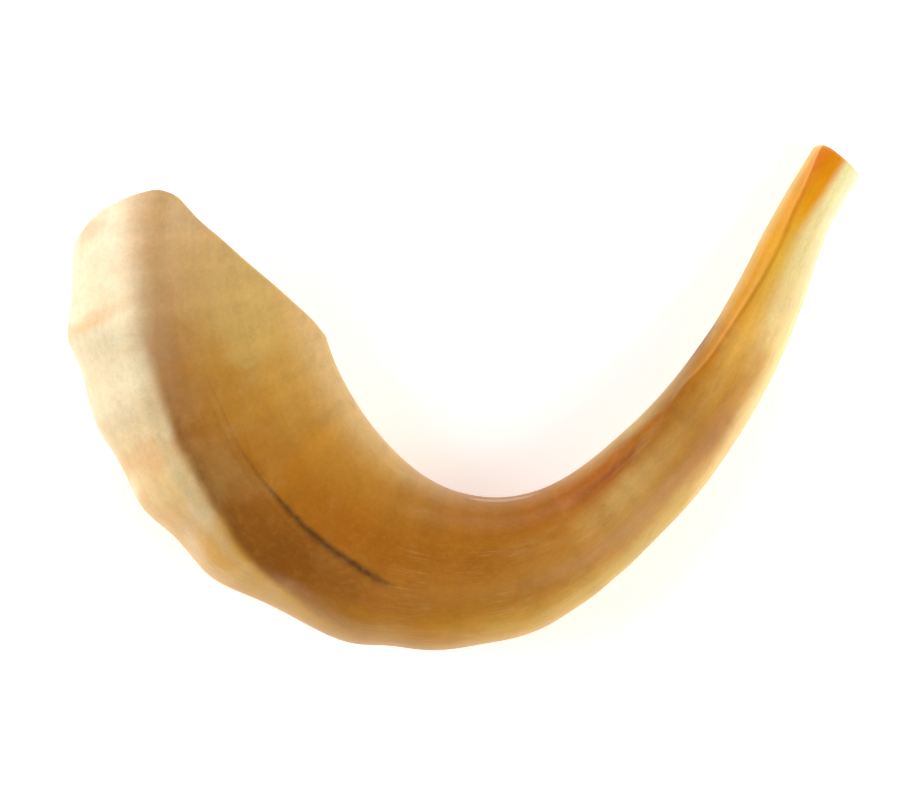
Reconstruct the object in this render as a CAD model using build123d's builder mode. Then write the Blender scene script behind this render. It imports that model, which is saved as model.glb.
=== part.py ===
from build123d import *

import os

import numpy as np

# A natural ram's-horn shofar, lying on its side.
#
# The whole instrument is one piece of horn. It is modelled as a lofted outer horn, cut by the plane of the bell's
# mouth at the wide end and by the plane of the mouthpiece's face at the narrow end. The horn's natural cavity, a
# straight drilled bore and a carved mouthpiece cup are hollowed out of it.
#
# Frame, in millimetres: the horn lies on the plane Z = 0, +Z is up, and +X runs from the bell to the mouthpiece.
# The origin is under the middle of the horn's bounding box.

# ---------------------------------------------------------------- driving dimensions
BORE_RADIUS = 3.8          # straight drilled bore through the solid tip
BORE_END = 71.0            # depth at which the bore breaks into the natural cavity
CUP_DEPTH = 9.0            # mouthpiece cup, from the face down to the bore
CUP_RADII = ((0.0, 6.1, 5.1), (2.2, 5.7, 4.85), (5.0, 4.8, 4.35), (9.0, 3.9, 3.9))  # depth, half width, half height

# Stations across the horn, numbered from the bell to the tip. Each row is the station's number, then the inner and
# the outer edge of the horn there, in plan. Stations below 0 lie wholly or partly past the bell's oblique mouth.
STATIONS = (
    (-4, (-52.0, 70.2), (-111.4, 76.3)), (-3, (-50.3, 58.3), (-115.3, 57.0)), (-2, (-48.1, 46.7), (-116.9, 37.8)),
    (-1, (-45.4, 34.3), (-116.0, 18.9)), (0, (-42.4, 22.7), (-112.2, 0.7)), (1, (-39.3, 12.8), (-104.6, -16.8)),
    (2, (-35.6, 4.8), (-94.5, -32.5)), (3, (-30.9, -3.1), (-82.1, -46.3)), (4, (-25.4, -10.4), (-67.4, -57.7)),
    (5, (-19.1, -17.1), (-50.6, -66.6)), (6, (-12.0, -22.9), (-32.0, -72.2)), (7, (-3.8, -27.1), (-12.8, -73.9)),
    (8, (5.1, -29.2), (6.1, -71.9)), (9, (14.3, -29.2), (24.2, -66.7)), (10, (23.3, -27.0), (38.9, -58.8)),
    (11, (31.5, -22.9), (50.6, -49.9)), (12, (39.0, -17.6), (59.8, -40.8)), (13, (46.0, -11.6), (67.3, -32.1)),
    (14, (52.8, -5.4), (73.9, -23.7)), (15, (59.2, 1.3), (80.0, -15.1)), (16, (65.1, 8.3), (85.7, -6.1)),
    (17, (70.6, 15.7), (90.9, 3.3)), (18, (75.8, 23.3), (95.4, 12.8)), (19, (80.4, 31.3), (99.3, 22.2)),
    (20, (84.8, 39.4), (102.8, 31.2)), (21, (89.0, 47.7), (105.9, 39.9)), (22, (93.4, 55.8), (109.1, 48.1)),
    (23, (98.0, 63.7), (112.6, 55.5)), (24, (102.9, 71.7), (116.9, 63.0)), (26, (111.0, 85.0), (126.4, 76.8)),
)

# Growth ridges on the broad front of the horn: how far they stand out from the station's outer edge.
RIDGES = (
    (-4, 0.0), (-2, 0.3), (-1.5, 0.9), (-1.0, 2.2), (-0.5, 0.5), (0.0, 0.5), (0.5, 0.9), (1.0, 0.1), (1.5, 0.6),
    (2.0, 1.5), (2.5, 0.1), (3.0, 0.2), (3.5, 1.2), (4.0, 0.2), (4.5, -0.9), (5.0, -0.6), (5.5, 0.6), (6.0, 1.2),
    (6.5, 0.8), (7.0, 1.4), (8.0, 1.7), (9.0, 1.7), (10.0, 0.4), (11.0, -0.4), (12.0, -0.5), (13.0, 0.0),
    (16.0, 0.2), (19.0, 0.3), (21.0, -0.1), (22.5, -0.4), (24.0, 0.0), (26.0, 0.0),
)

# Overall height of the section, and the height of its middle over the table.
HEIGHT = ((-6, 54.5), (-4, 54.0), (0, 52.0), (4, 46.0), (8, 38.0), (12, 27.5), (16, 22.6), (20, 18.0), (24, 14.6), (26, 14.4))
MIDDLE = ((-6, 27.2), (-4, 27.0), (0, 26.0), (4, 23.0), (8, 19.2), (12, 16.4), (16, 15.3), (20, 11.3), (24, 7.6), (26, 6.0))

# Wall thickness of the hollow part, across the horn and in height.
WALL_ACROSS = ((-6, 3.6), (0, 3.8), (4, 4.4), (8, 5.4), (12, 6.1), (14, 6.6), (16, 7.4), (17.6, 7.25))
WALL_HEIGHT = ((-6, 3.6), (0, 3.8), (4, 4.4), (8, 5.2), (12, 5.8), (14, 6.1), (16, 6.6), (17.6, 6.35))

# The section's shape at key stations. Each pair is the position across the horn, -1 at the inner edge and +1 at the
# outer edge, and the height, 0 at the underside and 1 at the top. It runs over the top and back underneath. The bell
# is a rounded triangle with a raised keel along its top. The tip has a flat along its inner top edge.
SECTIONS = (
    (-4, ((-1.0, .33), (-.94, .395), (-.78, .475), (-.52, .635), (-.24, .795), (.02, .97), (.19, 1.01), (.35, .985),
          (.56, .885), (.76, .765), (.93, .61), (1.0, .45), (.93, .20), (.62, .03), (.14, .0), (-.36, .03),
          (-.76, .11), (-.95, .21))),
    (0, ((-1.0, .33), (-.94, .40), (-.78, .52), (-.50, .68), (-.20, .80), (.10, .89), (.29, .975), (.44, .985),
         (.62, .90), (.80, .76), (.95, .59), (1.0, .43), (.93, .20), (.62, .03), (.14, .0), (-.36, .03),
         (-.76, .11), (-.95, .23))),
    (4, ((-1.0, .41), (-.94, .58), (-.76, .745), (-.46, .86), (-.10, .925), (.22, .96), (.44, .985), (.58, .955),
         (.72, .875), (.86, .735), (.96, .57), (1.0, .42), (.93, .20), (.64, .04), (.15, .0), (-.34, .03),
         (-.74, .12), (-.95, .25))),
    (9, ((-1.0, .50), (-.95, .68), (-.78, .86), (-.46, .97), (-.12, 1.0), (.20, .995), (.42, .965), (.58, .915),
         (.73, .84), (.86, .735), (.96, .60), (1.0, .45), (.94, .25), (.68, .08), (.20, .0), (-.28, .02),
         (-.70, .13), (-.94, .30))),
    (14, ((-1.0, .50), (-.95, .67), (-.78, .85), (-.47, .965), (-.14, 1.0), (.18, .99), (.40, .955), (.57, .90),
          (.72, .82), (.85, .72), (.95, .59), (1.0, .45), (.94, .25), (.68, .08), (.20, .0), (-.28, .02),
          (-.70, .13), (-.94, .30))),
    (20, ((-1.0, .50), (-.92, .65), (-.73, .815), (-.42, .98), (-.14, 1.0), (.16, .985), (.38, .94), (.56, .88),
          (.72, .79), (.86, .69), (.96, .57), (1.0, .46), (.94, .26), (.68, .08), (.20, .0), (-.28, .02),
          (-.70, .13), (-.94, .30))),
    (26, ((-1.0, .50), (-.93, .64), (-.78, .80), (-.52, .965), (-.20, 1.0), (.14, .99), (.38, .95), (.57, .885),
          (.73, .79), (.87, .68), (.96, .57), (1.0, .46), (.94, .26), (.68, .08), (.20, .0), (-.28, .02),
          (-.70, .13), (-.94, .30))),
)
# The natural cavity's shape in the same terms: plainer, with no keel.
CAVITY = (
    (-5, ((-1.0, .35), (-.76, .475), (-.24, .72), (.18, .885), (.60, .84), (.90, .66), (1.0, .46), (.90, .18),
          (.55, .03), (.05, .01), (-.50, .05), (-.90, .18))),
    (0, ((-1.0, .32), (-.78, .465), (-.26, .72), (.20, .87), (.62, .85), (.90, .65), (1.0, .45), (.90, .18),
         (.55, .03), (.05, .01), (-.50, .06), (-.90, .20))),
    (4, ((-1.0, .42), (-.82, .68), (-.34, .87), (.14, .93), (.57, .90), (.88, .69), (1.0, .45), (.88, .19),
         (.53, .03), (.03, .0), (-.50, .05), (-.89, .22))),
    (9, ((-1.0, .50), (-.86, .80), (-.45, .97), (.00, 1.0), (.45, .94), (.82, .74), (1.0, .48), (.86, .19),
         (.50, .03), (.0, .0), (-.50, .05), (-.88, .24))),
    (18, ((-1.0, .50), (-.86, .79), (-.48, .96), (.00, 1.0), (.48, .94), (.85, .75), (1.0, .49), (.86, .20),
          (.50, .04), (.0, .0), (-.50, .05), (-.88, .24))),
)

# Three points of the bell's mouth: at the inner edge, on the keel and at the outer edge.
MOUTH = ((-43.2, 24.6, 19.5), (-92.6, 63.6, 53.0), (-116.8, 47.7, 27.7))
# Two points of the mouthpiece's face in plan, at the height of its middle, and how far the face leans down.
FACE = ((109.3, 75.3), (118.05, 68.2))
FACE_LEAN = 0.15
FACE_ROUND = 1.1           # rounding of the mouthpiece's outer edge
MOUTH_ROUND = 0.8          # rounding of the bell's outer edge
# Shift of the tables above that centres the finished horn over the origin and rests it on the table.
SHIFT = (-0.543, -0.859, 0.142)


# ---------------------------------------------------------------- interpolation between the tables' rows
def smooth(table, s):
    """The table's value at station s, on a natural cubic spline through its rows."""
    x = np.array([row[0] for row in table], float)
    y = np.array([row[1] for row in table], float)
    shape, y = y.shape[1:], y.reshape(len(x), -1)
    n, h = len(x), np.diff(x)
    left, right = np.zeros((n, n)), np.zeros(y.shape)
    left[0, 0] = left[-1, -1] = 1
    for i in range(1, n - 1):
        left[i, i - 1 : i + 2] = h[i - 1], 2 * (h[i - 1] + h[i]), h[i]
        right[i] = 6 * ((y[i + 1] - y[i]) / h[i] - (y[i] - y[i - 1]) / h[i - 1])
    m = np.linalg.solve(left, right)
    j = int(np.clip(np.searchsorted(x, s) - 1, 0, n - 2))
    t = s - x[j]
    slope = (y[j + 1] - y[j]) / h[j] - h[j] * (2 * m[j] + m[j + 1]) / 6
    value = y[j] + slope * t + m[j] * t**2 / 2 + (m[j + 1] - m[j]) * t**3 / (6 * h[j])
    return value.reshape(shape) if shape else float(value[0])


shift = np.array(SHIFT)
INNER = [(s, shift[:2] + a) for s, a, b in STATIONS]
OUTER = [(s, shift[:2] + b) for s, a, b in STATIONS]
MIDDLE = [(s, z + SHIFT[2]) for s, z in MIDDLE]
MOUTH = [shift + p for p in MOUTH]
FACE = [shift[:2] + p for p in FACE]


def station(s):
    """(plane square to the horn at station s, half width): the plane's X runs outwards, and its Y is up."""
    a, b = smooth(INNER, s), smooth(OUTER, s)
    half = float(np.hypot(*(b - a))) / 2
    out = (b - a) / (2 * half)
    middle = (a + b) / 2
    return Plane(origin=(*middle, 0), x_dir=(*out, 0), z_dir=(out[1], -out[0], 0)), half


def outer_section(s):
    """Points of the horn's outside in the plane of station s."""
    half, height, middle = station(s)[1], float(smooth(HEIGHT, s)), float(smooth(MIDDLE, s))
    ridge = float(smooth(RIDGES, s))
    points = []
    for across, up in smooth(SECTIONS, s):
        w = min(1.0, max(0.0, (across - 0.45) / 0.5))
        points.append((half * across + ridge * w * w * (3 - 2 * w), middle + (up - 0.5) * height))
    return points


def cavity_section(s):
    """Points of the natural cavity's wall in the plane of station s."""
    half = station(s)[1] - float(smooth(WALL_ACROSS, s))
    height, middle = float(smooth(HEIGHT, s)) - 2 * float(smooth(WALL_HEIGHT, s)), float(smooth(MIDDLE, s))
    return [(half * across, middle + (up - 0.5) * height) for across, up in smooth(CAVITY, s)]


OUTER_STATIONS = [-4 + 0.5 * i for i in range(21)] + [7 + i for i in range(20)]
CAVITY_STATIONS = [-5 + i for i in range(23)] + [17.6]

# The drilled bore runs straight from the middle of the mouthpiece's face towards the cavity.
tip = station(24.7)[0].origin + Vector(0, 0, float(smooth(MIDDLE, 24.7)))
break_through = station(17.3)[0].origin + Vector(0, 0, float(smooth(MIDDLE, 17.3)))
bore_direction = (tip - break_through).normalized()
face_x = Vector(FACE[1][0] - FACE[0][0], FACE[1][1] - FACE[0][1], 0).normalized()
face_normal = Vector(-face_x.Y, face_x.X, -FACE_LEAN).normalized()
to_face = (Vector(*FACE[0], 7.2) - tip).dot(face_normal) / bore_direction.dot(face_normal)
mouthpiece = tip + bore_direction * to_face

# The bell is cut off by a plane through the three points of its mouth. Its normal points out of the bell.
mouth_inner, mouth_keel, mouth_outer = (Vector(*p) for p in MOUTH)
mouth_plane = Plane(
    origin=(mouth_inner + mouth_outer) / 2,
    x_dir=mouth_outer - mouth_inner,
    z_dir=(mouth_outer - mouth_inner).cross(mouth_keel - mouth_inner),
)
face_plane = Plane(origin=mouthpiece, x_dir=face_x, z_dir=face_normal)
bore_plane = Plane(origin=mouthpiece, x_dir=face_x, z_dir=bore_direction)

# ---------------------------------------------------------------- the horn
with BuildPart() as cavity:
    for s in CAVITY_STATIONS:
        with BuildSketch(station(s)[0]):
            with BuildLine():
                Spline(*cavity_section(s), periodic=True)
            make_face()
    loft()

with BuildPart() as cup:
    for depth, across, up in CUP_RADII:
        with BuildSketch(bore_plane.offset(-depth if depth else 3.0)):
            Ellipse(across + (0.5 if depth == 0 else 0), up + (0.5 if depth == 0 else 0))
    loft()

with BuildPart() as bore:
    with BuildSketch(bore_plane):
        Circle(BORE_RADIUS)
    extrude(amount=-BORE_END)

with BuildPart() as ram_horn:
    for s in OUTER_STATIONS:
        with BuildSketch(station(s)[0]):
            with BuildLine():
                Spline(*outer_section(s), periodic=True)
            make_face()
    loft()
    with BuildSketch(mouth_plane):
        Rectangle(130, 130)
    extrude(amount=80, mode=Mode.SUBTRACT)
    split(bisect_by=face_plane, keep=Keep.BOTTOM)
    face_edges = ram_horn.faces().filter_by(GeomType.PLANE).sort_by(Axis.X)[-1].edges()
    fillet(face_edges, FACE_ROUND)
    mouth_edges = ram_horn.faces().filter_by(GeomType.PLANE).sort_by(Axis.X)[0].edges()
    fillet(mouth_edges, MOUTH_ROUND)
    add(cavity.part, mode=Mode.SUBTRACT)
    add(bore.part, mode=Mode.SUBTRACT)
    add(cup.part, mode=Mode.SUBTRACT)

ram_horn.part.label = "ram_horn"
os.makedirs("parts", exist_ok=True)
export_step(ram_horn.part, "parts/ram_horn.step")

box = ram_horn.part.bounding_box()
print("box", box.min, box.max, "volume cm3", ram_horn.part.volume / 1000, "solids", len(ram_horn.part.solids()))
print("mouthpiece centre", mouthpiece, "bore direction", bore_direction, "mouth normal", mouth_plane.z_dir)
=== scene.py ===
"""A natural ram's-horn shofar, lying on its side on a plain pale table."""

import bpy
import numpy as np
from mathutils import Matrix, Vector


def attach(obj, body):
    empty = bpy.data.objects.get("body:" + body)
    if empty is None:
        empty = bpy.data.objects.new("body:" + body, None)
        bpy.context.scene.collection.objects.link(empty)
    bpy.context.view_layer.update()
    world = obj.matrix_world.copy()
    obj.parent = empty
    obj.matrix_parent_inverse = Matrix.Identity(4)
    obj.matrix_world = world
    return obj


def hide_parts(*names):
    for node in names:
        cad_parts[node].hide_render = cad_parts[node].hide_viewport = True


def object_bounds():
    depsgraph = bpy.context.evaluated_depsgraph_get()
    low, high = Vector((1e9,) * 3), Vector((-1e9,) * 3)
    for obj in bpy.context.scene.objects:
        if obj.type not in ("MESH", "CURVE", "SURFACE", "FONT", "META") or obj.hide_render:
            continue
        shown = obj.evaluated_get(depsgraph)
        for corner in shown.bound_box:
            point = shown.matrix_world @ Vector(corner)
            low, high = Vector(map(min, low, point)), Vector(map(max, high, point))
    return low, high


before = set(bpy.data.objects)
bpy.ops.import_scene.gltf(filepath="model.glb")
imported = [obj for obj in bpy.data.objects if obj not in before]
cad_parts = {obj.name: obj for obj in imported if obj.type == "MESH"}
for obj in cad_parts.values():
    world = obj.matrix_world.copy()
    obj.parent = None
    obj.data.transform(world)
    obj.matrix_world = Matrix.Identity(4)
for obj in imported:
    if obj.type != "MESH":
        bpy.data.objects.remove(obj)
cad_box = [list(map(float, corner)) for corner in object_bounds()]

# ------------------------------------------------------------------ the horn's shape, in millimetres of the frame
SHIFT = np.array((-0.543, -0.859, 0.142))
STATIONS = (
    (-4, (-52.0, 70.2), (-111.4, 76.3)), (-3, (-50.3, 58.3), (-115.3, 57.0)), (-2, (-48.1, 46.7), (-116.9, 37.8)),
    (-1, (-45.4, 34.3), (-116.0, 18.9)), (0, (-42.4, 22.7), (-112.2, 0.7)), (1, (-39.3, 12.8), (-104.6, -16.8)),
    (2, (-35.6, 4.8), (-94.5, -32.5)), (3, (-30.9, -3.1), (-82.1, -46.3)), (4, (-25.4, -10.4), (-67.4, -57.7)),
    (5, (-19.1, -17.1), (-50.6, -66.6)), (6, (-12.0, -22.9), (-32.0, -72.2)), (7, (-3.8, -27.1), (-12.8, -73.9)),
    (8, (5.1, -29.2), (6.1, -71.9)), (9, (14.3, -29.2), (24.2, -66.7)), (10, (23.3, -27.0), (38.9, -58.8)),
    (11, (31.5, -22.9), (50.6, -49.9)), (12, (39.0, -17.6), (59.8, -40.8)), (13, (46.0, -11.6), (67.3, -32.1)),
    (14, (52.8, -5.4), (73.9, -23.7)), (15, (59.2, 1.3), (80.0, -15.1)), (16, (65.1, 8.3), (85.7, -6.1)),
    (17, (70.6, 15.7), (90.9, 3.3)), (18, (75.8, 23.3), (95.4, 12.8)), (19, (80.4, 31.3), (99.3, 22.2)),
    (20, (84.8, 39.4), (102.8, 31.2)), (21, (89.0, 47.7), (105.9, 39.9)), (22, (93.4, 55.8), (109.1, 48.1)),
    (23, (98.0, 63.7), (112.6, 55.5)), (24, (102.9, 71.7), (116.9, 63.0)), (26, (111.0, 85.0), (126.4, 76.8)),
)
# Growth ridges across the broad front: how far they stand out at each half station.
RIDGES = (
    (-4, 0.0), (-3, 0.2), (-2, 0.4), (-1.5, 0.9), (-1.0, 2.7), (-0.5, 0.5), (0.0, 0.49), (0.5, 0.98), (1.0, -0.03),
    (1.5, 0.56), (2.0, 1.52), (2.5, 0.02), (3.0, 0.21), (3.5, 1.38), (4.0, 0.18), (4.5, -1.06), (5.0, -0.69),
    (5.5, 0.68), (6.0, 1.42), (6.5, 0.59), (7.0, 1.42), (7.5, 1.81), (8.0, 1.66), (8.5, 2.06), (9.0, 1.77),
    (9.5, 0.84), (10.0, 0.38), (10.5, -0.24), (11.0, -0.47), (11.5, -0.69), (12.0, -0.56), (13.0, -0.03), (15.0, 0.15),
    (17.0, 0.2), (19.0, 0.3), (20.0, 0.13), (21.0, -0.16), (22.0, -0.32), (22.5, -0.45), (23.0, -0.24), (24.0, -0.07),
    (26.0, 0.0),
)
HEIGHT = ((-6, 54.5), (-4, 54.0), (0, 52.0), (4, 46.0), (8, 38.0), (12, 27.5), (16, 22.6), (20, 18.0), (24, 14.6), (26, 14.4))
MIDDLE = ((-6, 27.2), (-4, 27.0), (0, 26.0), (4, 23.0), (8, 19.2), (12, 16.4), (16, 15.3), (20, 11.3), (24, 7.6), (26, 6.0))
WALL_ACROSS = ((-6, 3.6), (0, 3.8), (4, 4.4), (8, 5.4), (12, 6.1), (14, 6.6), (16, 7.4), (17.6, 7.25))
WALL_HEIGHT = ((-6, 3.6), (0, 3.8), (4, 4.4), (8, 5.2), (12, 5.8), (14, 6.1), (16, 6.6), (17.6, 6.35))
SECTIONS = (
    (-4, ((-1.0, .33), (-.94, .395), (-.78, .475), (-.52, .635), (-.24, .795), (.02, .97), (.19, 1.01), (.35, .985),
          (.56, .885), (.76, .765), (.93, .61), (1.0, .45), (.93, .20), (.62, .03), (.14, .0), (-.36, .03),
          (-.76, .11), (-.95, .21))),
    (0, ((-1.0, .33), (-.94, .40), (-.78, .52), (-.50, .68), (-.20, .80), (.10, .89), (.29, .975), (.44, .985),
         (.62, .90), (.80, .76), (.95, .59), (1.0, .43), (.93, .20), (.62, .03), (.14, .0), (-.36, .03),
         (-.76, .11), (-.95, .23))),
    (4, ((-1.0, .41), (-.94, .58), (-.76, .745), (-.46, .86), (-.10, .925), (.22, .96), (.44, .985), (.58, .955),
         (.72, .875), (.86, .735), (.96, .57), (1.0, .42), (.93, .20), (.64, .04), (.15, .0), (-.34, .03),
         (-.74, .12), (-.95, .25))),
    (9, ((-1.0, .50), (-.95, .68), (-.78, .86), (-.46, .97), (-.12, 1.0), (.20, .995), (.42, .965), (.58, .915),
         (.73, .84), (.86, .735), (.96, .60), (1.0, .45), (.94, .25), (.68, .08), (.20, .0), (-.28, .02),
         (-.70, .13), (-.94, .30))),
    (14, ((-1.0, .50), (-.95, .67), (-.78, .85), (-.47, .965), (-.14, 1.0), (.18, .99), (.40, .955), (.57, .90),
          (.72, .82), (.85, .72), (.95, .59), (1.0, .45), (.94, .25), (.68, .08), (.20, .0), (-.28, .02),
          (-.70, .13), (-.94, .30))),
    (20, ((-1.0, .50), (-.92, .65), (-.73, .815), (-.42, .98), (-.14, 1.0), (.16, .985), (.38, .94), (.56, .88),
          (.72, .79), (.86, .69), (.96, .57), (1.0, .46), (.94, .26), (.68, .08), (.20, .0), (-.28, .02),
          (-.70, .13), (-.94, .30))),
    (26, ((-1.0, .50), (-.93, .64), (-.78, .80), (-.52, .965), (-.20, 1.0), (.14, .99), (.38, .95), (.57, .885),
          (.73, .79), (.87, .68), (.96, .57), (1.0, .46), (.94, .26), (.68, .08), (.20, .0), (-.28, .02),
          (-.70, .13), (-.94, .30))),
)
CAVITY = (
    (-5, ((-1.0, .35), (-.76, .475), (-.24, .72), (.18, .885), (.60, .84), (.90, .66), (1.0, .46), (.90, .18),
          (.55, .03), (.05, .01), (-.50, .05), (-.90, .18))),
    (0, ((-1.0, .32), (-.78, .465), (-.26, .72), (.20, .87), (.62, .85), (.90, .65), (1.0, .45), (.90, .18),
         (.55, .03), (.05, .01), (-.50, .06), (-.90, .20))),
    (4, ((-1.0, .42), (-.82, .68), (-.34, .87), (.14, .93), (.57, .90), (.88, .69), (1.0, .45), (.88, .19),
         (.53, .03), (.03, .0), (-.50, .05), (-.89, .22))),
    (9, ((-1.0, .50), (-.86, .80), (-.45, .97), (.00, 1.0), (.45, .94), (.82, .74), (1.0, .48), (.86, .19),
         (.50, .03), (.0, .0), (-.50, .05), (-.88, .24))),
    (18, ((-1.0, .50), (-.86, .79), (-.48, .96), (.00, 1.0), (.48, .94), (.85, .75), (1.0, .49), (.86, .20),
          (.50, .04), (.0, .0), (-.50, .05), (-.88, .24))),
)
MOUTH = np.array(((-43.2, 24.6, 19.5), (-92.6, 63.6, 53.0), (-116.8, 47.7, 27.7))) + SHIFT
FACE_POINT = np.array((113.6, 71.75, 7.2)) + SHIFT
FACE_NORMAL = np.array((0.630091, 0.776521, -0.15))
FACE_NORMAL /= np.linalg.norm(FACE_NORMAL)
BORE_RADIUS = 3.8
CUP = ((0.0, 6.1, 5.1), (2.2, 5.7, 4.85), (5.0, 4.8, 4.35), (9.0, 3.8, 3.8))

# Lines that run along the horn, as positions across it: the keel's crest, the dark crease and the tip's facet edge.
KEEL = ((-5, .24), (-3.3, .27), (-2, .31), (-1, .345), (0, .375), (1, .43), (2, .48), (3, .515), (4, .545), (5, .575), (6, .61), (8, .66), (26, .70))
CREASE = ((-5, .10), (-1, .05), (0, .02), (.9, -.005), (1.7, .015), (2.5, .045), (3.2, .067), (3.8, .092), (4.4, .125), (5, .16), (5.5, .20), (6.1, .265), (8, .45), (26, .45))
FACET = ((-5, -.55), (11.5, -.55), (13.5, -.54), (14.5, -.60), (15.6, -.72), (16.7, -.62), (17.5, -.60), (18.4, -.56), (19.4, -.47), (20.3, -.41), (21.2, -.38), (21.8, -.41), (22.5, -.48), (23.1, -.50), (23.9, -.64), (26, -.80))
# Where the cream front meets the brown side.
BAND = ((-5, .36), (-2.5, .40), (-1.4, .40), (-.5, .405), (.4, .43), (1.2, .46), (2.3, .515), (3.2, .60), (3.9, .685), (4.6, .77), (5.2, .85), (5.8, .92), (7, .96), (9, .98), (26, 1.0))


class Natural:
    """A natural cubic spline through a table's rows."""

    def __init__(self, table):
        self.x = x = np.array([row[0] for row in table], float)
        self.y = y = np.array([row[1] for row in table], float)
        flat = y.reshape(len(x), -1)
        n, h = len(x), np.diff(x)
        left, right = np.zeros((n, n)), np.zeros(flat.shape)
        left[0, 0] = left[-1, -1] = 1
        for i in range(1, n - 1):
            left[i, i - 1 : i + 2] = h[i - 1], 2 * (h[i - 1] + h[i]), h[i]
            right[i] = 6 * ((flat[i + 1] - flat[i]) / h[i] - (flat[i] - flat[i - 1]) / h[i - 1])
        self.m = np.linalg.solve(left, right).reshape(y.shape)

    def __call__(self, s):
        s = np.asarray(s, float)
        j = np.clip(np.searchsorted(self.x, s) - 1, 0, len(self.x) - 2)
        h = self.x[j + 1] - self.x[j]
        t = s - self.x[j]
        extra = (1,) * (self.y.ndim - 1)
        h, t = h.reshape(h.shape + extra), t.reshape(t.shape + extra)
        ya, yb, ma, mb = self.y[j], self.y[j + 1], self.m[j], self.m[j + 1]
        slope = (yb - ya) / h - h * (2 * ma + mb) / 6
        return ya + slope * t + ma * t**2 / 2 + (mb - ma) * t**3 / (6 * h)


def step(x, a, b):
    t = np.clip((np.asarray(x, float) - a) / (b - a), 0, 1)
    return t * t * (3 - 2 * t)


def bump(x, width):
    return np.exp(-((np.asarray(x, float) / width) ** 2))


inner_line = Natural([(s, SHIFT[:2] + a) for s, a, b in STATIONS])
outer_line = Natural([(s, SHIFT[:2] + b) for s, a, b in STATIONS])
height_at, middle_at = Natural(HEIGHT), Natural([(s, z + SHIFT[2]) for s, z in MIDDLE])
ridge_at, wall_a, wall_h = Natural(RIDGES), Natural(WALL_ACROSS), Natural(WALL_HEIGHT)
section_at, cavity_at = Natural(SECTIONS), Natural(CAVITY)
keel_at, crease_at, facet_at, band_at = Natural(KEEL), Natural(CREASE), Natural(FACET), Natural(BAND)

# Columns run around the horn, from the inner edge over the top, past the outer edge and back underneath.
SPLIT = (12, 14, 20, 20, 20, 16, 12, 14, 14, 12, 10, 10, 12, 14, 14, 12, 10, 10)
KNOT = np.concatenate([[i + k / n for k in range(n)] for i, n in enumerate(SPLIT)])
COLUMNS = len(KNOT)


def closed_curve(points, where):
    """A closed cubic spline through points, read at knot positions such as 3.25, a quarter of the way from 3 to 4."""
    n = len(points)
    nxt = np.roll(points, -1, 0)
    h = np.linalg.norm(nxt - points, axis=1)
    hp = np.roll(h, 1)
    left, right = np.zeros((n, n)), np.zeros_like(points)
    for i in range(n):
        left[i, i - 1] += hp[i]
        left[i, i] += 2 * (hp[i] + h[i])
        left[i, (i + 1) % n] += h[i]
        right[i] = 6 * ((nxt[i] - points[i]) / h[i] - (points[i] - points[i - 1]) / hp[i])
    m = np.linalg.solve(left, right)
    i = np.floor(where).astype(int) % n
    f = (where - np.floor(where))[:, None]
    k = (i + 1) % n
    hi = h[i][:, None]
    return (
        (1 - f) * points[i] + f * points[k]
        + hi**2 / 6 * (((1 - f) ** 3 - (1 - f)) * m[i] + (f**3 - f) * m[k])
    )


FINE = np.arange(-5.0, 25.6, 0.05)
outer_a = inner_line(FINE)
outer_b = outer_line(FINE)
HALF = np.linalg.norm(outer_b - outer_a, axis=1) / 2
OUT = (outer_b - outer_a) / (2 * HALF[:, None])
MID = (outer_a + outer_b) / 2
HGT, MDL = height_at(FINE), middle_at(FINE)

skin = np.zeros((len(FINE), COLUMNS, 2))      # the horn's outside, before its ridges and grooves
hollow = np.zeros((len(FINE), COLUMNS, 2))    # the natural cavity, in the same directions
sections, cavities = section_at(FINE), cavity_at(FINE)
for row, s in enumerate(FINE):
    pts = sections[row] * (HALF[row], HGT[row]) + (0, MDL[row] - HGT[row] / 2)
    skin[row] = closed_curve(pts, KNOT)
    half = HALF[row] - wall_a(min(s, 17.6))
    tall = HGT[row] - 2 * wall_h(min(s, 17.6))
    pts = cavities[row] * (half, tall) + (0, MDL[row] - tall / 2)
    ring = closed_curve(pts, np.arange(0, 12, 0.05))
    centre = np.array((0.0, MDL[row]))
    angle = np.unwrap(np.arctan2(*(ring - centre).T[::-1]))
    want = np.arctan2(*(skin[row] - centre).T[::-1])
    order = np.argsort(angle % (2 * np.pi))
    around, radius = (angle % (2 * np.pi))[order], np.linalg.norm(ring - centre, axis=1)[order]
    around = np.concatenate([around - 2 * np.pi, around, around + 2 * np.pi])
    r = np.interp(want % (2 * np.pi), around, np.tile(radius, 3))
    hollow[row] = centre + r[:, None] * np.stack([np.cos(want), np.sin(want)], 1)

# Fields on the outside: position across, distances in millimetres from the long lines, and which side of the horn.
ACROSS = skin[:, :, 0] / HALF[:, None]
on_top = (KNOT > 0.4) & (KNOT < 11.3)
topness = step(KNOT, 0.0, 0.9) * (1 - step(KNOT, 10.6, 12.2))


def line_distance(line):
    """Distance across the top, in mm along the section, from a line that runs along the horn; positive outwards."""
    out = np.zeros_like(ACROSS)
    for row in range(len(FINE)):
        seg = np.linalg.norm(np.diff(skin[row], axis=0, append=skin[row][:1]), axis=1)
        arc = np.concatenate([[0], np.cumsum(seg)[:-1]])
        top = np.arange(0, np.searchsorted(KNOT, 11.0))
        at = np.interp(line[row], ACROSS[row][top], arc[top])
        d = arc - at
        d[KNOT > 14.5] = (arc - at - seg.sum())[KNOT > 14.5]
        out[row] = d
    return out


KEEL_D = line_distance(keel_at(FINE))
CREASE_D = line_distance(crease_at(FINE))
FACET_D = line_distance(facet_at(FINE))
BAND_D = line_distance(band_at(FINE))

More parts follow.
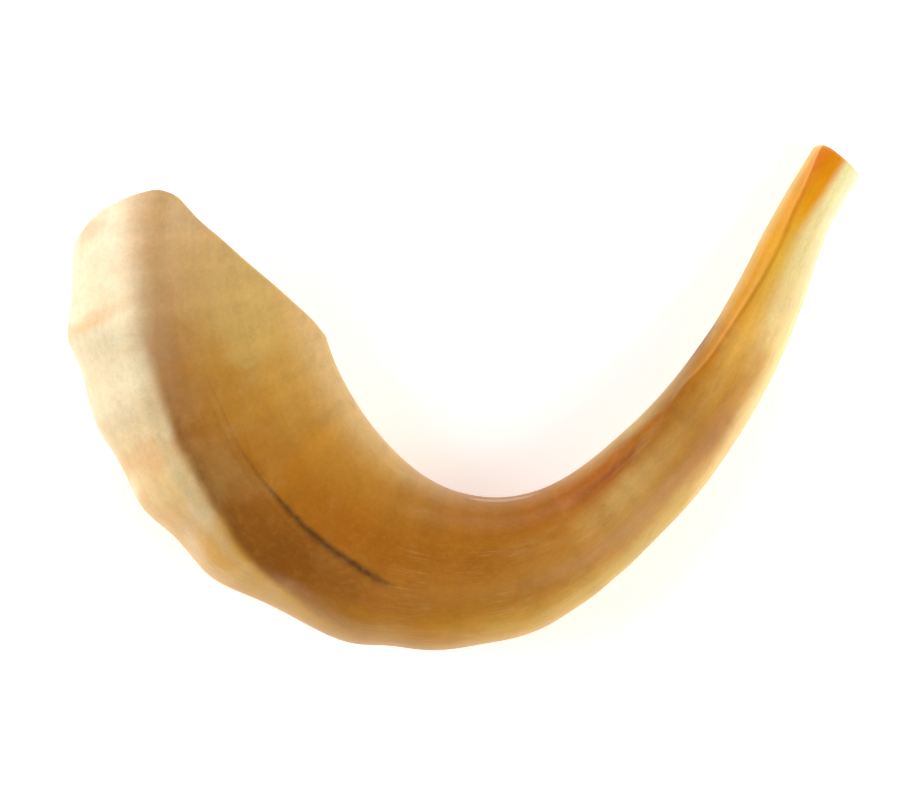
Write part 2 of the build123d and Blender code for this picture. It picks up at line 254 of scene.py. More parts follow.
# The horn's surface relief: the ridged front, the keel, the trough beside it, the crease and the tip's carved facet.
S = FINE[:, None]
front = np.where(S < 7, step(KEEL_D, -1.0, 6.0) * (1 - step(S, 5.0, 7.5)) + step(ACROSS, .45, .95) * step(S, 5.0, 7.5), step(ACROSS, .45, .95)) * topness[None] 
front_low = step(ACROSS, .55, 1.0) * (1 - step(KNOT, 11.0, 13.5))[None]
ridge = ridge_at(FINE)[:, None]
relief = ridge * np.maximum(front, front_low * (KNOT[None] > 10.5)) * (0.35 + 0.65 * step(ACROSS, .5, .97))
fade = 1 - step(S, 2.6, 4.6)
relief += topness * fade * step(S, -1.0, 1.4) * 0.35 * bump(KEEL_D - 0.3, 2.0)
relief -= topness * fade * step(S, -0.8, 1.6) * 0.65 * bump(KEEL_D + 3.8, 3.0)
relief -= topness * 0.28 * bump(CREASE_D, 0.55) * step(S, 1.2, 2.6) * (1 - step(S, 5.8, 6.4))
relief -= topness * 0.25 * bump(CREASE_D, 2.4) * step(S, -0.5, 2.5) * (1 - step(S, 6.0, 7.5))
tip = step(S, 12.5, 17.0)
relief += topness * tip * 0.26 * bump(FACET_D, 1.0)
relief -= topness * tip * 0.24 * bump(FACET_D + 2.4, 1.8)

mouth_normal = np.cross(MOUTH[2] - MOUTH[0], MOUTH[1] - MOUTH[0])
mouth_normal /= np.linalg.norm(mouth_normal)


def place(s, col, table, push=None):
    """World points for stations s, one per column index col, from a table of section points."""
    x = np.clip((np.asarray(s, float) - FINE[0]) / 0.05, 0, len(FINE) - 1.001)
    i = x.astype(int)
    f = (x - i)[..., None]
    pick = lambda a: a[i] * (1 - f) + a[i + 1] * f
    sec = table[i, col] * (1 - f) + table[i + 1, col] * f
    mid, out = pick(MID), pick(OUT)
    return np.concatenate([mid + out * sec[..., :1], sec[..., 1:]], -1)


def look_up(field, s, col):
    x = np.clip((np.asarray(s, float) - FINE[0]) / 0.05, 0, len(FINE) - 1.001)
    i = x.astype(int)
    f = x - i
    return field[i, col] * (1 - f) + field[i + 1, col] * f


# Push the outside's sections out along their normals by the relief.
tangent = np.roll(skin, -1, 1) - np.roll(skin, 1, 1)
normal = np.stack([-tangent[..., 1], tangent[..., 0]], -1)
normal /= np.linalg.norm(normal, axis=2, keepdims=True)
shaped = skin + normal * relief[..., None]

cols = np.arange(COLUMNS)


# The sawn rim isn't quite flat, and its inner corner is worn round.
turn = KNOT / 18 * 2 * np.pi
wear = 0.22 * np.sin(3 * turn + 0.6) + 0.16 * np.sin(7 * turn + 2.0) + 0.10 * np.sin(13 * turn)
wear += 1.9 * np.exp(-(((KNOT + 8.6) % 18 - 9) / 1.1) ** 2)
wear += 0.40 * np.exp(-(((KNOT - 6.6) / 0.9) ** 2)) - 0.30 * np.exp(-(((KNOT - 5.0) / 0.9) ** 2))


def cut(table, point, direction, lo, hi, inside_first=True):
    """The station where each column's line meets a plane, between stations lo and hi."""
    grid = np.arange(lo, hi, 0.05)
    out = np.zeros(COLUMNS)
    for c in range(COLUMNS):
        g = (place(grid, np.full(len(grid), c), table) - point) @ direction + wear[c]
        if inside_first:
            hit = np.where((g[:-1] > 0) & (g[1:] <= 0))[0]
            k = hit[-1]
        else:
            hit = np.where((g[:-1] <= 0) & (g[1:] > 0))[0]
            k = hit[0]
        out[c] = grid[k] + 0.05 * g[k] / (g[k] - g[k + 1])
    return out


LIP = 1.0
mouth_point = MOUTH[0] - mouth_normal * LIP
s_mouth = cut(shaped, mouth_point, mouth_normal, -5.0, 5.0)
s_mouth_in = cut(hollow, mouth_point, mouth_normal, -5.0, 5.0)
edge_round = 0.7 + 1.5 * np.exp(-((((KNOT + 9) % 18) - 9) / 2.2) ** 2)
s_face = np.zeros(COLUMNS)
for c in range(COLUMNS):
    grid = np.arange(22.0, 25.5, 0.02)
    g = (place(grid, np.full(len(grid), c), shaped) - FACE_POINT) @ FACE_NORMAL + edge_round[c]
    k = np.where((g[:-1] <= 0) & (g[1:] > 0))[0][0]
    s_face[c] = grid[k] + 0.02 * g[k] / (g[k] - g[k + 1])

# Rows along the outside, about evenly spaced along the horn's middle line.
ROWS = 286
length = np.concatenate([[0], np.cumsum(np.linalg.norm(np.diff(MID, axis=0), axis=1))])
start, end = -1.6, 24.7
at = np.linspace(np.interp(start, FINE, length), np.interp(end, FINE, length), ROWS)
row_s = np.interp(at, length, FINE)
w_mouth = 1 - step(row_s, start, 7.0)
w_face = step(row_s, 20.5, end)
s_out = row_s[:, None] + w_mouth[:, None] * (s_mouth - start) + w_face[:, None] * (s_face - end)
col_grid = np.broadcast_to(cols, s_out.shape)
outside = place(s_out, col_grid, shaped)

rings, kinds = [], []       # every ring of COLUMNS points, from the cup round the outside to the inside of the tip


def add_ring(points, kind, s=None):
    rings.append(points)
    kinds.append((kind, s))


# Bell's rim: a rounded edge from the outside round to the cavity.
cavity_start = place(s_mouth_in, cols, hollow)
rim = []
for f in np.linspace(0, 1, 10)[1:-1]:
    across = 0.5 - 0.5 * np.cos(np.pi * f)
    lift = LIP * (1 - abs(2 * across - 1) ** 2.6) ** (1 / 2.6)
    rim.append(outside[0] * (1 - across) + cavity_start * across + mouth_normal * lift)

# Cavity, from the rim in to the drilled bore.
CAVITY_ROWS = 64
c_start, c_end = -1.2, 17.6
cavity_s = c_start + (c_end - c_start) * np.linspace(0, 1, CAVITY_ROWS)
s_in = cavity_s[:, None] + (1 - step(cavity_s, c_start, 6.0))[:, None] * (s_mouth_in - c_start)
inside = place(s_in, np.broadcast_to(cols, s_in.shape), hollow)

# The bore and the cup, about their straight axis.
axis_tip = np.array([*MID[np.searchsorted(FINE, 24.7 - 1e-6)], float(middle_at(24.7))])
axis_in = np.array([*MID[np.searchsorted(FINE, 17.3 - 1e-6)], float(middle_at(17.3))])
axis = (axis_tip - axis_in) / np.linalg.norm(axis_tip - axis_in)
face_centre = axis_tip + axis * ((FACE_POINT - axis_tip) @ FACE_NORMAL) / (axis @ FACE_NORMAL)
bx = np.array([*OUT[-20], 0.0])
bx -= axis * (bx @ axis)
bx /= np.linalg.norm(bx)
by = np.cross(bx, axis)
by *= np.sign(by[2])
around = np.arctan2(skin[-20, :, 1] - MDL[-20], skin[-20, :, 0])
cup = Natural([(d, (a, b)) for d, a, b in CUP])


def ring_at(depth, a, b):
    return face_centre - axis * depth + a * np.cos(around)[:, None] * bx + b * np.sin(around)[:, None] * by


bore_depth = (face_centre - inside[-1].mean(0)) @ axis
bore = [ring_at(d, BORE_RADIUS, BORE_RADIUS) for d in np.linspace(bore_depth - 2.0, 9.8, 12)]


def on_face(points):
    """Points moved along the bore's axis on to the mouthpiece's face."""
    return points + axis * (((FACE_POINT - points) @ FACE_NORMAL) / (axis @ FACE_NORMAL))[:, None]


cup_rings = []
for d in np.linspace(9.0, 0.9, 10):
    level = ring_at(0, *cup(d))
    cup_rings.append(level - axis * d + (on_face(level) - level) * (1 - d / 9.0))


cup_edge = on_face(ring_at(0, 6.1, 5.1))
cup_soft = on_face(ring_at(0, 6.1, 5.1)) - FACE_NORMAL * 0.28 - (ring_at(0, 0.1, 0.1) - face_centre) * 0.0
cup_edge_out = on_face(ring_at(0, 6.42, 5.42))
last = outside[-1]
toward = face_centre - last
toward -= FACE_NORMAL * (toward @ FACE_NORMAL)[:, None]
toward /= np.linalg.norm(toward, axis=1, keepdims=True)
face_rings = []
for q in np.linspace(0, 1, 7)[1:]:
    face_rings.append(
        last
        + FACE_NORMAL * (edge_round * np.sin(q * np.pi / 2))[:, None]
        + toward * (edge_round * (1 - np.cos(q * np.pi / 2)))[:, None]
    )
limit = np.linalg.norm(cup_edge_out - face_centre, axis=1) + 0.12
for ring in face_rings:
    off = ring - face_centre
    along = (off @ FACE_NORMAL)[:, None] * FACE_NORMAL
    flat = off - along
    r = np.linalg.norm(flat, axis=1)
    keep = np.maximum(r, limit)
    ring[:] = face_centre + along + flat * (keep / r)[:, None]

parts = []
parts += [(r, 1) for r in cup_rings[::-1][:0]]
order = []
order += [("outside", outside[i]) for i in range(ROWS)]
order += [("face", r) for r in face_rings]
order += [("face", cup_edge_out), ("cup", cup_edge - FACE_NORMAL * 0.12), ("cup", cup_soft)]
order += [("cup", r) for r in cup_rings[::-1]]
order += [("bore", r) for r in bore[::-1]]
order += [("hollow", inside[i]) for i in range(CAVITY_ROWS - 1, -1, -1)]
order += [("rim", r) for r in rim[::-1]]
verts = np.concatenate([r for _, r in order]) / 1000.0
total = len(order)
kind = np.repeat([("outside", "face", "cup", "bore", "hollow", "rim").index(k) for k, _ in order], COLUMNS)

r0 = np.arange(total)[:, None] * COLUMNS
r1 = ((np.arange(total) + 1) % total)[:, None] * COLUMNS
c1 = (cols + 1) % COLUMNS
quads = np.stack([r0 + cols, r1 + cols, r1 + c1, r0 + c1], -1).reshape(-1, 4)

mesh = bpy.data.meshes.new("horn")
mesh.from_pydata(verts.tolist(), [], quads.tolist())
mesh.update()
mesh.shade_smooth()
horn = bpy.data.objects.new("horn", mesh)
bpy.context.collection.objects.link(horn)


def attribute(name, values):
    a = mesh.attributes.new(name, "FLOAT", "POINT")
    a.data.foreach_set("value", np.ascontiguousarray(values, dtype=np.float32))


def spread(field):
    """A field of the outside, carried on to the other rings from the nearest end of the outside."""
    vals = look_up(field, s_out, col_grid)
    rest = [vals[-1] if k in ("face", "cup", "bore") else vals[0] for k, _ in order[ROWS:]]
    return np.concatenate([vals] + [v[None] for v in rest]).ravel()


s_all = np.concatenate(
    [s_out] + [(s_out[-1] if k in ("face", "cup") else None, )[0][None] if k in ("face", "cup") else
               (np.full((1, COLUMNS), 20.0) if k == "bore" else s_out[:1]) for k, _ in order[ROWS:]]
)
hollow_rows = [i for i, (k, _) in enumerate(order) if k == "hollow"]
for j, i in enumerate(hollow_rows):
    s_all[i] = s_in[CAVITY_ROWS - 1 - j]
along = np.interp(s_all, FINE, length)
perimeter = np.zeros(COLUMNS)
mid_ring = skin[200]
perimeter = np.concatenate([[0], np.cumsum(np.linalg.norm(np.diff(mid_ring, axis=0), axis=1))])
perimeter = perimeter / (perimeter[-1] + np.linalg.norm(mid_ring[0] - mid_ring[-1])) * 2 * np.pi
attribute("station", s_all.ravel())
attribute("along", along.ravel())
attribute("across", spread(ACROSS))
attribute("keel", spread(KEEL_D))
attribute("crease", spread(CREASE_D))
attribute("facet", spread(FACET_D))
attribute("band", spread(BAND_D))
attribute("upper", spread(np.broadcast_to(1 - step(KNOT, 11.8, 13.8)[None], ACROSS.shape)))
attribute("top", spread(np.broadcast_to(topness[None], ACROSS.shape)))
attribute("inside", np.isin(kind, [3, 4]).astype(float))
attribute("rim", np.isin(kind, [1, 5]).astype(float))
attribute("cupface", np.isin(kind, [1, 2]).astype(float))
fib = mesh.attributes.new("fibre", "FLOAT_VECTOR", "POINT")
theta = np.broadcast_to(perimeter, s_all.shape)
fib_v = np.stack([18 * np.cos(theta), 18 * np.sin(theta), along], -1).reshape(-1, 3)
fib.data.foreach_set("vector", np.ascontiguousarray(fib_v, dtype=np.float32).ravel())

uv = mesh.uv_layers.new(name="UVMap")
loops = np.zeros(len(mesh.loops), dtype=np.int32)
mesh.loops.foreach_get("vertex_index", loops)
lr, lc = loops // COLUMNS, loops % COLUMNS
poly = np.arange(len(loops)) // 4
pr, pc = poly // COLUMNS, poly % COLUMNS
u = np.where((pc == COLUMNS - 1) & (lc == 0), COLUMNS, lc) / COLUMNS
v = np.where((pr == total - 1) & (lr == 0), total, lr) / total
uv.data.foreach_set("uv", np.ascontiguousarray(np.stack([u, v], 1), dtype=np.float32).ravel())


# ------------------------------------------------------------------ materials
def srgb(r, g, b):
    return tuple(((c / 255 + 0.055) / 1.055) ** 2.4 if c > 10 else c / 255 / 12.92 for c in (r, g, b)) + (1.0,)


class Nodes:
    def __init__(self, name):
        self.mat = bpy.data.materials.new(name)
        self.mat.use_nodes = True
        self.tree = self.mat.node_tree
        self.tree.nodes.clear()

    def add(self, kind, **settings):
        node = self.tree.nodes.new(kind)
        for key, value in settings.items():
            setattr(node, key, value)
        return node

    def put(self, socket, value):
        if isinstance(value, bpy.types.NodeSocket):
            self.tree.links.new(value, socket)
        elif value is not None:
            socket.default_value = value

    def attr(self, name, vector=False):
        node = self.add("ShaderNodeAttribute", attribute_type="GEOMETRY", attribute_name=name)
        return node.outputs["Vector" if vector else "Fac"]

    def calc(self, op, a, b=None, c=None, clamp=False):
        node = self.add("ShaderNodeMath", operation=op, use_clamp=clamp)
        for socket, value in zip(node.inputs, (a, b, c)):
            self.put(socket, value)
        return node.outputs[0]

    def span(self, x, a, b, lo=0.0, hi=1.0, smooth=True):
        node = self.add("ShaderNodeMapRange", interpolation_type="SMOOTHSTEP" if smooth else "LINEAR")
        for key, value in (("Value", x), ("From Min", a), ("From Max", b), ("To Min", lo), ("To Max", hi)):
            self.put(node.inputs[key], value)
        return node.outputs["Result"]

    def hill(self, x, centre, width):
        """1 at centre, falling to 0 at width on both sides."""
        d = self.calc("ABSOLUTE", self.calc("SUBTRACT", x, centre))
        return self.span(d, 0.0, width, 1.0, 0.0)

    def mix(self, fac, a, b, blend="MIX"):
        node = self.add("ShaderNodeMix", data_type="RGBA", blend_type=blend)
        self.put(node.inputs[0], fac)
        self.put(node.inputs[6], a)
        self.put(node.inputs[7], b)
        return node.outputs[2]

    def ramp(self, fac, stops, lo, hi):
        """A colour ramp over fac between lo and hi, with stops of (value, colour)."""
        node = self.add("ShaderNodeValToRGB")
        ramp = node.color_ramp
        ramp.interpolation = "LINEAR"
        while len(ramp.elements) < len(stops):
            ramp.elements.new(0.5)
        for element, (at_, colour) in zip(ramp.elements, stops):
            element.position = (at_ - lo) / (hi - lo)
        for element, (at_, colour) in zip(ramp.elements, stops):
            element.color = colour
        self.put(node.inputs[0], self.span(fac, lo, hi, smooth=False))
        return node.outputs[0]

    def scale(self, vector, xyz):
        node = self.add("ShaderNodeVectorMath", operation="MULTIPLY")
        self.put(node.inputs[0], vector)
        node.inputs[1].default_value = xyz
        return node.outputs[0]

    def noise(self, vector, scale, detail=3.0, rough=0.55, distort=0.0):
        node = self.add("ShaderNodeTexNoise")
        for key, value in (("Vector", vector), ("Scale", scale), ("Detail", detail), ("Roughness", rough), ("Distortion", distort)):
            self.put(node.inputs[key], value)
        return node.outputs["Fac"]


# Colours along the horn, as (station, sRGB), for five places across it and for the cream front.
EDGE_COLOURS = ((-3, (236, 198, 136)), (2, (232, 190, 120)), (5, (226, 178, 98)), (8, (188, 121, 16)), (10.5, (187, 118, 10)),
                (13.5, (204, 170, 98)), (17, (176, 124, 64)), (19, (230, 186, 114)), (24.5, (246, 216, 146)))
SIDE_COLOURS = ((-3, (228, 192, 124)), (0, (220, 172, 84)), (3, (208, 144, 44)), (6, (190, 124, 34)), (9, (184, 110, 3)),
                (12, (192, 104, 2)), (15, (184, 118, 22)), (18, (226, 148, 8)), (21, (252, 173, 14)), (24.5, (243, 134, 1)))
MID_COLOURS = ((-3, (234, 194, 130)), (0, (204, 150, 60)), (2, (196, 128, 32)), (5, (182, 108, 14)), (8, (180, 112, 24)),
               (10, (202, 136, 52)), (12, (218, 174, 98)), (15, (202, 144, 66)), (18, (250, 190, 88)), (21, (255, 198, 62)), (22.5, (254, 172, 14)), (24.5, (250, 154, 2)))
OUTER_COLOURS = ((-3, (228, 184, 124)), (0, (172, 112, 46)), (2, (170, 110, 32)), (4.2, (156, 92, 14)), (6, (186, 118, 36)),
                 (10, (194, 132, 38)), (12, (199, 142, 58)), (14.5, (192, 126, 28)), (17, (214, 150, 36)), (19, (254, 219, 144)), (24.5, (254, 240, 170)))
RIM_COLOURS = ((5, (206, 154, 60)), (7, (201, 137, 10)), (8.5, (219, 169, 68)), (11, (212, 172, 82)), (13, (222, 179, 86)), (15, (246, 208, 138)),
               (18, (252, 226, 156)), (24.5, (254, 248, 208)))
BAND_COLOURS = ((-4, (254, 242, 206)), (0, (250, 226, 180)), (2, (240, 203, 138)), (3.5, (225, 166, 62)), (6, (206, 150, 46)))


def horn_material():
    n = Nodes("polished_horn")
    st, ac = n.attr("station"), n.attr("across")
    keel, crease, facet, band_d = n.attr("keel"), n.attr("crease"), n.attr("facet"), n.attr("band")
    top_, upper = n.attr("top"), n.attr("upper")
    fib_ = n.attr("fibre", vector=True)
    times = lambda *xs: xs[0] if len(xs) == 1 else n.calc("MULTIPLY", xs[0], times(*xs[1:]))

    def tint(col, amount, factor, colour, blend="MIX"):
        return n.mix(n.calc("MULTIPLY", amount, factor), col, srgb(*colour), blend)

    # Faint fibres along the horn, growth bands across it, and rounder clouds of pale and dark horn.
    fibre = n.noise(n.scale(fib_, (1, 1, 0.05)), 1.3, 3.0, 0.6)
    fine = n.noise(n.scale(fib_, (1, 1, 0.6)), 0.9, 2.0, 0.6)
    grain = n.noise(fib_, 2.3, 1.0, 0.5)
    blush = n.noise(n.scale(fib_, (1, 1, 0.7)), 0.42, 3.0, 0.65, 0.2)
    cloud = n.noise(n.scale(fib_, (1, 1, 0.55)), 0.085, 3.0, 0.55, 0.5)
    cloud2 = n.noise(n.scale(fib_, (1, 1, 0.7)), 0.18, 3.0, 0.5, 0.2)
    streak = n.noise(n.scale(fib_, (1, 1, 0.04)), 0.30, 3.0, 0.5)
    growth = n.noise(n.scale(fib_, (0.12, 0.12, 1)), 0.14, 1.0, 0.5, 0.3)

    wob = n.calc("MULTIPLY_ADD", n.calc("SUBTRACT", cloud, 0.5), 0.22, ac)
    ws = n.calc("MULTIPLY_ADD", n.calc("SUBTRACT", cloud2, 0.5), 1.6, st)

    def lane(*stops):
        return n.ramp(ws, [(s, srgb(*c)) for s, c in stops], -4, 25)

    edge = lane(*EDGE_COLOURS)
    side = lane(*SIDE_COLOURS)
    mid = lane(*MID_COLOURS)
    outer = lane(*OUTER_COLOURS)
    rim_ = lane(*RIM_COLOURS)
    band = lane(*BAND_COLOURS)
    near = n.span(st, 4.0, 7.0, 1.0, 0.0)
    col = n.mix(n.span(wob, -0.99, n.calc("MULTIPLY_ADD", near, 0.14, -0.70)), edge, side)
    col = n.mix(n.span(wob, -0.62, -0.12), col, mid)
    far, end_ = n.span(st, 15.5, 20.0), n.span(st, 21.4, 23.6)
    paler = n.calc("MULTIPLY_ADD", end_, 0.20, n.calc("MULTIPLY_ADD", far, -0.13, -0.08))
    col = n.mix(n.span(wob, paler, n.calc("MULTIPLY_ADD", end_, 0.10, 0.36)), col, outer)
    col = n.mix(times(n.span(wob, 0.50, 0.98), upper, n.span(st, 4.0, 6.0)), col, rim_)

    # The golden patch on the bell's side, the brown smudges and the reddish streak towards the tip.
    patch = times(n.hill(ws, -0.9, 2.2), n.hill(wob, -0.40, 0.42), top_)
    col = tint(col, n.span(patch, 0.05, 0.45), 0.42, (222, 188, 112))
    red = times(n.hill(ac, -0.535, 0.16), n.hill(st, 12.4, 2.6), n.span(streak, 0.30, 0.62), top_)
    col = tint(col, red, 0.75, (150, 70, 12))
    smudge = times(n.hill(ws, 14.9, 1.9), n.hill(wob, 0.42, 0.55), top_)
    col = tint(col, smudge, 0.30, (170, 104, 40))

    # The cream front, with pinkish tan and pale patches that follow its bumps.
    patch2 = n.noise(n.scale(fib_, (0.55, 0.55, 1)), 0.12, 1.5, 0.5, 0.15)
    patch3 = n.noise(n.scale(fib_, (0.8, 0.8, 0.9)), 0.075, 2.0, 0.5, 0.5)
    band = tint(band, n.span(patch2, 0.46, 0.68), 0.50, (230, 172, 104))
    band = tint(band, times(n.span(patch3, 0.50, 0.32), n.span(st, 2.0, 4.2, 1.0, 0.2)), 0.42, (252, 240, 204))
    pink = times(n.hill(st, -2.9, 1.7), n.hill(keel, 3.0, 13.0))
    band = tint(band, pink, 0.55, (226, 170, 118))
    bw = n.calc("MULTIPLY_ADD", n.calc("SUBTRACT", cloud2, 0.5), 3.0, band_d)
    on_band = times(n.span(bw, -2.2, 3.2), n.span(st, 4.8, 7.6, 1.0, 0.0), upper)
    # Nearer the mouth the two colours run into each other over a wider strip.
    wide = times(n.span(bw, -9.0, 12.0), upper)
    on_band = n.calc("ADD", times(on_band, n.span(st, -1.6, 1.4)), times(wide, n.span(st, -1.6, 1.4, 1.0, 0.0)))
    col = n.mix(on_band, col, band)
    tan = times(n.hill(ws, 3.0, 0.9), n.hill(wob, 0.72, 0.16), upper)
    col = tint(col, tan, 0.40, (196, 138, 70))
    # Painted shade: a greyer strip on the cream front where it rounds over towards the keel.
    painted_grey_shade = times(n.hill(band_d, 4.6, 5.0), n.span(st, -1.2, 0.6), n.span(st, 2.6, 4.8, 1.0, 0.0), upper)
    col = tint(col, painted_grey_shade, 0.42, (218, 198, 150))
    # Painted shade: the groove beside the keel's crest is darkened in the colour, as shade would fall in it.
    painted_trough_shade = times(n.hill(bw, -2.2, 3.6), n.span(st, 0.0, 1.8), n.span(st, 2.9, 4.6, 1.0, 0.0), top_)
    col = tint(col, painted_trough_shade, 0.37, (98, 64, 26))

    # The dark brown crease, with a fainter line beside it and a shade between it and the front.
    jitter = n.calc("MULTIPLY", n.calc("SUBTRACT", n.noise(fib_, 0.22, 3.0, 0.55), 0.5), 1.3)
    line = n.calc("ADD", crease, jitter)
    deep = times(n.span(st, 1.7, 4.0), n.span(st, 5.75, 6.5, 1.0, 0.0))
    broken = n.span(n.noise(n.scale(fib_, (1, 1, 0.25)), 0.9, 3.0, 0.6), 0.26, 0.56, 0.35, 1.0)
    col = tint(col, times(n.hill(line, 0.6, n.span(st, 2.0, 4.4, 1.0, 2.3)), deep, top_), 0.62, (86, 56, 22))
    col = tint(col, times(n.hill(line, 0.3, n.span(st, 2.0, 4.4, 0.6, 1.15)), deep, top_, broken), 0.50, (66, 42, 18))
    faint = times(n.hill(n.calc("ADD", crease, n.calc("MULTIPLY", jitter, 0.6)), 0.8, 0.8), n.span(st, -0.4, 1.4), n.span(st, 2.2, 3.0, 1.0, 0.0), top_)
    col = tint(col, times(faint, broken), 0.24, (110, 68, 28))
    beside = times(n.hill(line, 3.4, 0.9), n.span(st, 0.4, 1.4), n.span(st, 3.6, 4.6, 1.0, 0.0), top_)
    col = tint(col, times(beside, broken), 0.16, (100, 60, 24))
    shade = times(n.span(crease, -1.5, 3.5), n.span(band_d, -1.0, -5.0), n.span(st, 0.6, 3.0), n.span(st, 5.0, 6.6, 1.0, 0.0), top_)
    col = tint(col, shade, 0.22, (122, 64, 18))

    # The carved facet at the tip: a fine dark edge, paler horn inside it and deep orange outside it.
    tip_ = n.span(st, 14.6, 17.4)
    fine_edge = times(n.hill(facet, 0.5, 1.1), tip_, n.span(st, 21.5, 24.0, 1.0, 0.35), top_)
    col = tint(col, fine_edge, 0.34, (176, 92, 10))
    inner_facet = times(n.span(facet, -0.9, 0.1, 1.0, 0.0), n.span(st, 17.0, 19.6), top_)
    col = tint(col, inner_facet, 0.34, (248, 184, 62))
    # Painted shade: a dark brown strip along the inner edge near station 17, where the edge turns away from the light.
    painted_edge_shade = times(n.span(ac, -0.955, -0.99), n.hill(st, 17.2, 1.3), n.span(top_, 0.0, 0.3))
    col = tint(col, painted_edge_shade, 0.75, (84, 32, 8))

    # Mottling, fibres, growth bands and fine polish marks in the colour.
    col = tint(col, n.span(blush, 0.54, 0.66), 0.10, (220, 146, 84))
    col = tint(col, n.span(blush, 0.46, 0.34), 0.08, (214, 164, 62))
    col = tint(col, n.span(cloud, 0.52, 0.74), 0.20, (226, 184, 112))
    col = tint(col, times(n.span(cloud2, 0.47, 0.30), n.calc("SUBTRACT", 1.0, on_band), n.span(st, 15.0, 18.5, 1.0, 0.0)), 0.13, (140, 78, 18))
    marks = n.noise(n.scale(fib_, (1, 1, 0.055)), 2.1, 2.0, 0.6, 0.1)
    worn = times(n.span(marks, 0.50, 0.74), n.span(patch3, 0.44, 0.58), n.span(st, 5.0, 7.5), n.span(st, 13.0, 15.5, 1.0, 0.0), n.span(ac, -0.45, -0.05), top_)
    col = tint(col, worn, 0.26, (226, 186, 120))
    tone = times(
        n.span(streak, 0.35, 0.68, 0.97, 1.025, smooth=False), n.span(fibre, 0.3, 0.7, 0.98, 1.018, smooth=False),
        n.span(fine, 0.34, 0.66, 0.968, 1.032, smooth=False), n.span(growth, 0.3, 0.7, 0.95, 1.05, smooth=False),
        n.span(grain, 0.34, 0.66, 0.972, 1.028, smooth=False),
    )
    vec = n.add("ShaderNodeVectorMath", operation="SCALE")
    n.put(vec.inputs[0], col)
    n.put(vec.inputs["Scale"], tone)
    col = vec.outputs[0]

    # The sawn rim is paler; inside, the horn is rougher, duller and greyer.
    col = tint(col, n.attr("rim"), 0.30, (236, 200, 140))
    inner_ = n.attr("inside")
    rough_in = n.mix(n.span(cloud2, 0.35, 0.65), srgb(150, 120, 78), srgb(196, 166, 116))
    col = n.mix(inner_, col, rough_in)

    bsdf = n.add("ShaderNodeBsdfPrincipled")
    n.put(bsdf.inputs["Base Color"], col)
    rough = n.calc("ADD", n.span(fine, 0.3, 0.7, 0.32, 0.40, smooth=False), n.calc("MULTIPLY", inner_, 0.35))
    rough = n.calc("ADD", rough, n.calc("MULTIPLY", worn, 0.18))
    # The inside of the bend is rubbed to a gloss.
    rubbed = times(n.hill(ac, -0.968, 0.055), n.hill(st, 8.7, 1.7), n.span(streak, 0.34, 0.5), n.span(top_, 0.0, 0.3))
    rubbed = n.span(rubbed, 0.12, 0.4)
    n.put(bsdf.inputs["Roughness"], n.calc("MULTIPLY_ADD", rubbed, -0.26, rough))
    n.put(bsdf.inputs["Specular IOR Level"], n.calc("MULTIPLY_ADD", rubbed, 0.9, 0.24))
    bsdf.inputs["IOR"].default_value = 1.54
    bsdf.inputs["Subsurface Weight"].default_value = 0.12
    bsdf.inputs["Subsurface Radius"].default_value = (1.0, 0.45, 0.15)
    bsdf.inputs["Subsurface Scale"].default_value = 0.003
    relief_ = n.calc("ADD", n.calc("MULTIPLY", fibre, 0.30), n.calc("MULTIPLY", fine, 0.06))
    relief_ = n.calc("ADD", relief_, n.calc("MULTIPLY", cloud2, 1.2))
    b = n.add("ShaderNodeBump")
    b.inputs["Strength"].default_value = 0.30
    b.inputs["Distance"].default_value = 0.0004
    n.put(b.inputs["Height"], relief_)
    n.put(bsdf.inputs["Normal"], b.outputs[0])
    out = n.add("ShaderNodeOutputMaterial")
    n.put(out.inputs["Surface"], bsdf.outputs[0])
    return n.mat


mesh.materials.append(horn_material())
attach(horn, "root")
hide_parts("ram_horn")


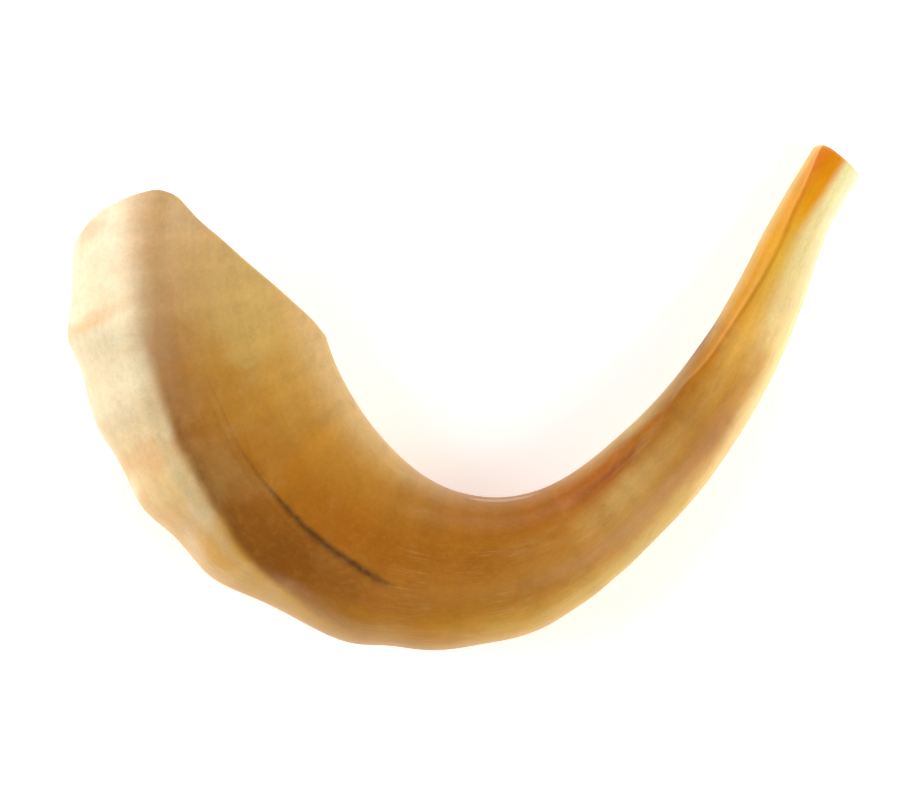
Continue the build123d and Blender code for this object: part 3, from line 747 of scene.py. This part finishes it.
def floor_material():
    n = Nodes("pale_table")
    coord = n.add("ShaderNodeTexCoord")
    grain = n.noise(coord.outputs["Object"], 9.0, 4.0, 0.5)
    bsdf = n.add("ShaderNodeBsdfPrincipled")
    n.put(bsdf.inputs["Base Color"], n.mix(n.span(grain, 0.3, 0.7), srgb(249, 248, 246), srgb(252, 251, 250)))
    n.put(bsdf.inputs["Roughness"], n.span(grain, 0.3, 0.7, 0.72, 0.82, smooth=False))
    bsdf.inputs["Specular IOR Level"].default_value = 0.2
    bsdf.inputs["Emission Color"].default_value = (1.0, 1.0, 1.0, 1.0)
    bsdf.inputs["Emission Strength"].default_value = 0.46
    out = n.add("ShaderNodeOutputMaterial")
    n.put(out.inputs["Surface"], bsdf.outputs[0])
    return n.mat


floor_z = cad_box[0][2]
size = 3.0
floor_mesh = bpy.data.meshes.new("floor")
floor_mesh.from_pydata([(-size, -size, floor_z), (size, -size, floor_z), (size, size, floor_z), (-size, size, floor_z)], [], [(0, 1, 2, 3)])
floor = bpy.data.objects.new("floor", floor_mesh)
bpy.context.collection.objects.link(floor)
floor_mesh.materials.append(floor_material())

# ------------------------------------------------------------------ light and camera
scene = bpy.context.scene
world = bpy.data.worlds.new("studio")
scene.world = world
world.use_nodes = True
world.node_tree.nodes["Background"].inputs["Color"].default_value = (1.0, 1.0, 1.0, 1.0)
world.node_tree.nodes["Background"].inputs["Strength"].default_value = 0.16


def softbox(name, place_, target, size_x, size_y, power, colour=(1, 1, 1)):
    light = bpy.data.lights.new(name, "AREA")
    light.shape = "RECTANGLE"
    light.size, light.size_y = size_x, size_y
    light.energy = power
    light.color = colour
    obj = bpy.data.objects.new(name, light)
    obj.location = place_
    obj.rotation_euler = (Vector(target) - Vector(place_)).to_track_quat("-Z", "Y").to_euler()
    bpy.context.collection.objects.link(obj)
    return obj


softbox("left", (-0.80, 0.05, 0.45), (-0.03, 0, 0.02), 0.6, 0.9, 5.6)
softbox("right", (0.75, -0.35, 0.45), (0.03, 0, 0.02), 0.6, 0.9, 6.2)
softbox("back", (0.0, 0.85, 0.50), (0, 0, 0.02), 0.9, 0.5, 3.0)

cam = bpy.data.cameras.new("camera")
cam.lens = 600.0
cam.sensor_width = 36.0
camera = bpy.data.objects.new("camera", cam)
bpy.context.collection.objects.link(camera)
K = 0.30e-3                                   # metres to a pixel in the plane of the horn
plane_z = 0.022
centre = ((460 - 463.5) * K + SHIFT[0] / 1000, (399 - 400) * K + SHIFT[1] / 1000)
distance = cam.lens * 920 * K / cam.sensor_width
camera.location = (centre[0], centre[1], plane_z + distance)
camera.rotation_euler = (0, 0, 0)
cam.clip_end = 20
scene.camera = camera
scene.view_settings.view_transform = "Standard"
scene.view_settings.look = "None"
